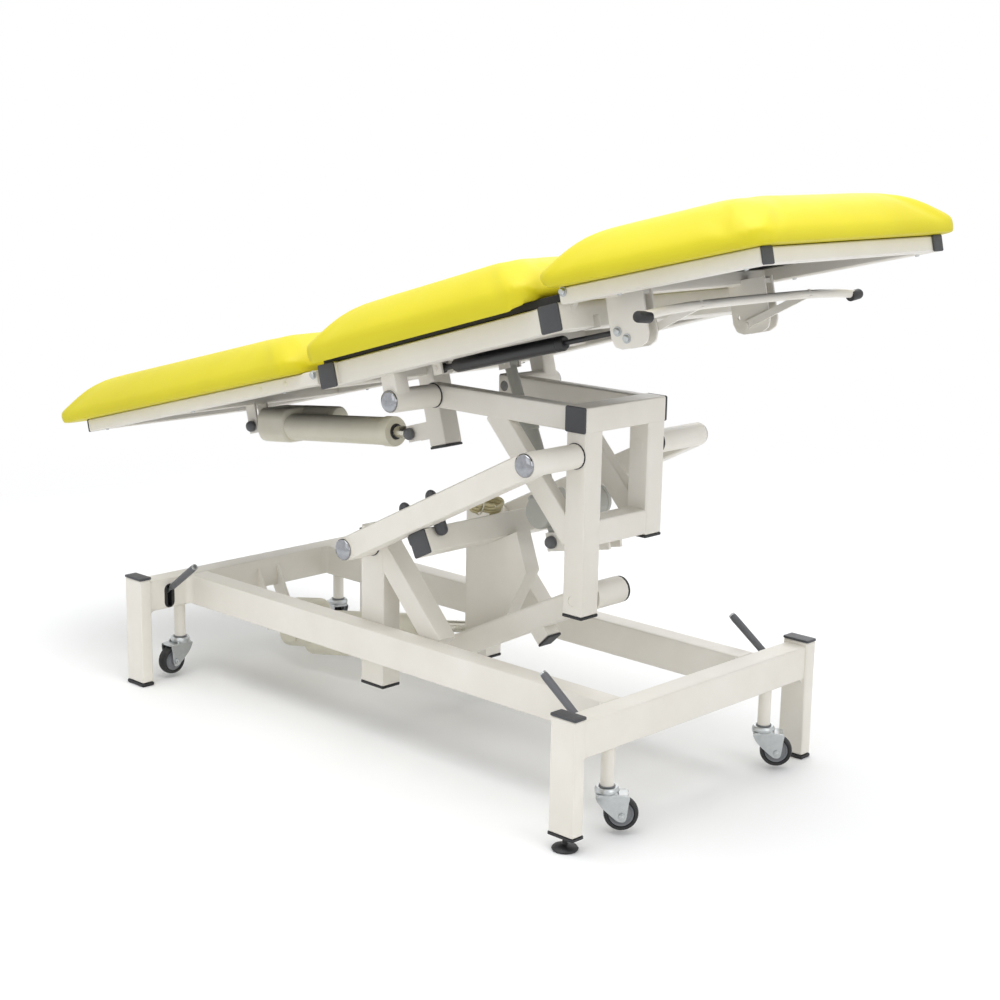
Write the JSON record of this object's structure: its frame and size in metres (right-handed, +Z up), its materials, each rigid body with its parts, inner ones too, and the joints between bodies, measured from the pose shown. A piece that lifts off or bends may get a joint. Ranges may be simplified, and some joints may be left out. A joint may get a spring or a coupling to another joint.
{
  "type": "ultrasound table",
  "caption": "Hi-lo examination couch with a padded leg, seat and back section on a tilting, lifting parallelogram base with retractable castors.",
  "frame": {"origin": "on the floor under the middle of the whole outline", "axes": "+Z up, +X towards the head end, +Y away from the near long side of the picture"},
  "size_m": [1.9974, 0.751, 1.1564],
  "materials": {
    "black": "matt",
    "board": "black covered",
    "chrome": "polished",
    "cream": "satin powder coat",
    "grey": "matt",
    "ivory": "satin",
    "rubber": "matt",
    "tan": "cable sheath",
    "vinyl": "soft vinyl",
    "zinc": "zinc plated"
  },
  "bodies": {
    "base": {"end_frame_foot": "cream", "end_frame_head": "cream", "long_rail_near": "cream", "long_rail_far": "cream", "mast_near": "cream", "mast_far": "cream", "arm_pin_lower_near": "chrome", "arm_pin_lower_far": "chrome", "link_shaft_base": "zinc", "foot_cap_foot_near": "rubber", "foot_cap_foot_far": "rubber", "foot_cap_head_far": "rubber"},
    "levelling": {"levelling_foot": "zinc"},
    "arms": {"arm_near": "cream", "arm_far": "cream", "arm_cross_tube": "cream", "lift_lever": "cream", "arm_peg_a": "grey", "arm_peg_b": "grey", "cable_hank": "tan"},
    "link": {"lower_link": "cream"},
    "tower": {"tower_frame": "cream", "arm_pin_upper_near": "chrome", "arm_pin_upper_far": "chrome", "tilt_pin_near": "chrome", "tilt_pin_far": "chrome", "link_pin_tower": "black"},
    "lift_drive": {"lift_actuator_body": "ivory"},
    "lift_ram": {"lift_actuator_rod": "chrome"},
    "tilt_drive": {"tilt_actuator_body": "grey"},
    "tilt_ram": {"tilt_actuator_rod": "chrome"},
    "seat": {"seat_frame": "cream", "seat_board": "board", "seat_pad": "vinyl"},
    "leg": {"leg_frame": "cream", "leg_pad": "vinyl"},
    "leg_drive": {"leg_actuator_body": "ivory"},
    "leg_ram": {"leg_actuator_rod": "chrome"},
    "back": {"back_frame": "cream", "back_pad": "vinyl"},
    "gas_spring": {"gas_spring_body": "black"},
    "gas_ram": {"gas_spring_rod": "black"},
    "release": {"release_bar": "cream"},
    "castor_foot_near_lever": {"castor_foot_near_lever": "zinc"},
    "castor_foot_near_stem": {"castor_foot_near_stem": "cream"},
    "castor_foot_near_fork": {"castor_foot_near_fork": "zinc"},
    "castor_foot_near_wheel": {"castor_foot_near_wheel": "rubber"},
    "castor_foot_far_lever": {"castor_foot_far_lever": "zinc"},
    "castor_foot_far_stem": {"castor_foot_far_stem": "cream"},
    "castor_foot_far_fork": {"castor_foot_far_fork": "zinc"},
    "castor_foot_far_wheel": {"castor_foot_far_wheel": "rubber"},
    "castor_head_near_lever": {"castor_head_near_lever": "zinc"},
    "castor_head_near_stem": {"castor_head_near_stem": "cream"},
    "castor_head_near_fork": {"castor_head_near_fork": "zinc"},
    "castor_head_near_wheel": {"castor_head_near_wheel": "rubber"},
    "castor_head_far_lever": {"castor_head_far_lever": "zinc"},
    "castor_head_far_stem": {"castor_head_far_stem": "cream"},
    "castor_head_far_fork": {"castor_head_far_fork": "zinc"},
    "castor_head_far_wheel": {"castor_head_far_wheel": "rubber"}
  },
  "joints": [
    {"name": "lift", "type": "hinge", "parent": "base", "child": "arms", "pos_m": [-0.029, 0, 0.409], "axis": [0, -1, 0], "range_deg": [-26.4, 15.6]},
    {"name": "link_turn", "type": "hinge", "parent": "base", "child": "link", "pos_m": [-0.029, 0, 0.124], "axis": [0, -1, 0], "range_deg": [-26.5, 15.7]},
    {"name": "tower_level", "type": "hinge", "parent": "arms", "child": "tower", "pos_m": [0.47582, 0, 0.6596], "axis": [0, -1, 0], "range_deg": [-15.7, 26.5]},
    {"name": "lift_drive_turn", "type": "hinge", "parent": "base", "child": "lift_drive", "pos_m": [-0.556, 0, 0.1], "axis": [0, -1, 0], "range_deg": [-4.37, 2.62]},
    {"name": "lift_drive_stroke", "type": "slide", "parent": "lift_drive", "child": "lift_ram", "axis": [0.9837, 0, 0.1796], "range_m": [-0.10503, 0.06247]},
    {"name": "tilt", "type": "hinge", "parent": "tower", "child": "seat", "pos_m": [0.08882, 0, 0.7296], "axis": [0, -1, 0], "range_deg": [-15.6, 4.4]},
    {"name": "tilt_drive_turn", "type": "hinge", "parent": "tower", "child": "tilt_drive", "pos_m": [0.33382, 0, 0.4516], "axis": [0, -1, 0], "range_deg": [-0.68, 0.264]},
    {"name": "tilt_drive_stroke", "type": "slide", "parent": "tilt_drive", "child": "tilt_ram", "axis": [-0.3924, 0, 0.9198], "range_m": [-0.03266, 0.00993]},
    {"name": "leg_raise", "type": "hinge", "parent": "seat", "child": "leg", "pos_m": [-0.10355, 0, 0.76414], "axis": [0, 1, 0], "range_deg": [-2, 25]},
    {"name": "leg_drive_turn", "type": "hinge", "parent": "leg", "child": "leg_drive", "pos_m": [-0.62659, 0, 0.56159], "axis": [0, 1, 0], "range_deg": [-1.54, 0.21]},
    {"name": "leg_drive_stroke", "type": "slide", "parent": "leg_drive", "child": "leg_ram", "axis": [0.9949, 0, 0.1006], "range_m": [-0.00611, 0.06484]},
    {"name": "back_raise", "type": "hinge", "parent": "seat", "child": "back", "pos_m": [0.57361, 0, 0.98643], "axis": [0, -1, 0], "range_deg": [-2, 35]},
    {"name": "gas_spring_turn", "type": "hinge", "parent": "seat", "child": "gas_spring", "pos_m": [0.17382, -0.18, 0.79963], "axis": [0, -1, 0], "range_deg": [-0.34, 4.3]},
    {"name": "gas_spring_stroke", "type": "slide", "parent": "gas_spring", "child": "gas_ram", "axis": [0.9694, 0, 0.2456], "range_m": [-0.00351, 0.0449]},
    {"name": "release_pull", "type": "hinge", "parent": "back", "child": "release", "pos_m": [0.65585, 0, 0.90586], "axis": [0, -1, 0], "range_deg": [0, 10]},
    {"name": "levelling_turn", "type": "hinge", "parent": "base", "child": "levelling", "pos_m": [0.684, -0.355, 0], "axis": [0, 0, 1], "continuous": true},
    {"name": "castor_foot_near_lower", "type": "hinge", "parent": "base", "child": "castor_foot_near_lever", "pos_m": [-0.626, -0.288, 0.198], "axis": [0, 1, 0], "range_deg": [0, 62]},
    {"name": "castor_foot_near_drop", "type": "slide", "parent": "base", "child": "castor_foot_near_stem", "axis": [0, 0, -1], "range_m": [0, 0.0205]},
    {"name": "castor_foot_near_swivel", "type": "hinge", "parent": "castor_foot_near_stem", "child": "castor_foot_near_fork", "pos_m": [-0.626, -0.243, 0], "axis": [0, 0, 1], "continuous": true},
    {"name": "castor_foot_near_roll", "type": "hinge", "parent": "castor_foot_near_fork", "child": "castor_foot_near_wheel", "pos_m": [-0.62365, -0.2699, 0.0395], "axis": [0.9962, 0.0872, 0], "continuous": true},
    {"name": "castor_foot_far_lower", "type": "hinge", "parent": "base", "child": "castor_foot_far_lever", "pos_m": [-0.626, 0.288, 0.198], "axis": [0, 1, 0], "range_deg": [0, 62]},
    {"name": "castor_foot_far_drop", "type": "slide", "parent": "base", "child": "castor_foot_far_stem", "axis": [0, 0, -1], "range_m": [0, 0.0205]},
    {"name": "castor_foot_far_swivel", "type": "hinge", "parent": "castor_foot_far_stem", "child": "castor_foot_far_fork", "pos_m": [-0.626, 0.243, 0], "axis": [0, 0, 1], "continuous": true},
    {"name": "castor_foot_far_roll", "type": "hinge", "parent": "castor_foot_far_fork", "child": "castor_foot_far_wheel", "pos_m": [-0.65137, 0.25223, 0.0395], "axis": [-0.342, -0.9397, 0], "continuous": true},
    {"name": "castor_head_near_lower", "type": "hinge", "parent": "base", "child": "castor_head_near_lever", "pos_m": [0.684, -0.288, 0.198], "axis": [0, -1, 0], "range_deg": [0, 62]},
    {"name": "castor_head_near_drop", "type": "slide", "parent": "base", "child": "castor_head_near_stem", "axis": [0, 0, -1], "range_m": [0, 0.0205]},
    {"name": "castor_head_near_swivel", "type": "hinge", "parent": "castor_head_near_stem", "child": "castor_head_near_fork", "pos_m": [0.684, -0.243, 0], "axis": [0, 0, 1], "continuous": true},
    {"name": "castor_head_near_roll", "type": "hinge", "parent": "castor_head_near_fork", "child": "castor_head_near_wheel", "pos_m": [0.70342, -0.22424, 0.0395], "axis": [-0.6947, 0.7193, 0], "continuous": true},
    {"name": "castor_head_far_lower", "type": "hinge", "parent": "base", "child": "castor_head_far_lever", "pos_m": [0.684, 0.288, 0.198], "axis": [0, -1, 0], "range_deg": [0, 62]},
    {"name": "castor_head_far_drop", "type": "slide", "parent": "base", "child": "castor_head_far_stem", "axis": [0, 0, -1], "range_m": [0, 0.0205]},
    {"name": "castor_head_far_swivel", "type": "hinge", "parent": "castor_head_far_stem", "child": "castor_head_far_fork", "pos_m": [0.684, 0.243, 0], "axis": [0, 0, 1], "continuous": true},
    {"name": "castor_head_far_roll", "type": "hinge", "parent": "castor_head_far_fork", "child": "castor_head_far_wheel", "pos_m": [0.70468, 0.26036, 0.0395], "axis": [-0.6428, 0.766, 0], "continuous": true}
  ],
  "couplings": [
    {"joint": "link_turn", "follows": "lift", "ratio": 1},
    {"joint": "tower_level", "follows": "lift", "ratio": -1},
    {"joint": "lift_drive_turn", "follows": "lift", "ratio": 0.16169},
    {"joint": "lift_drive_stroke", "follows": "lift", "m_per_rad": 0.22577},
    {"joint": "tilt_drive_turn", "follows": "tilt", "ratio": 0.037206},
    {"joint": "tilt_drive_stroke", "follows": "tilt", "m_per_rad": 0.1163},
    {"joint": "leg_drive_turn", "follows": "leg_raise", "ratio": -0.057714},
    {"joint": "leg_drive_stroke", "follows": "leg_raise", "m_per_rad": 0.1463},
    {"joint": "gas_spring_turn", "follows": "back_raise", "ratio": 0.12009},
    {"joint": "gas_spring_stroke", "follows": "back_raise", "m_per_rad": 0.07186},
    {"joint": "castor_foot_near_drop", "follows": "castor_foot_near_lower", "m_per_rad": 0.018483},
    {"joint": "castor_foot_far_drop", "follows": "castor_foot_far_lower", "m_per_rad": 0.018483},
    {"joint": "castor_head_near_drop", "follows": "castor_head_near_lower", "m_per_rad": 0.018483},
    {"joint": "castor_head_far_drop", "follows": "castor_head_far_lower", "m_per_rad": 0.018483}
  ]
}
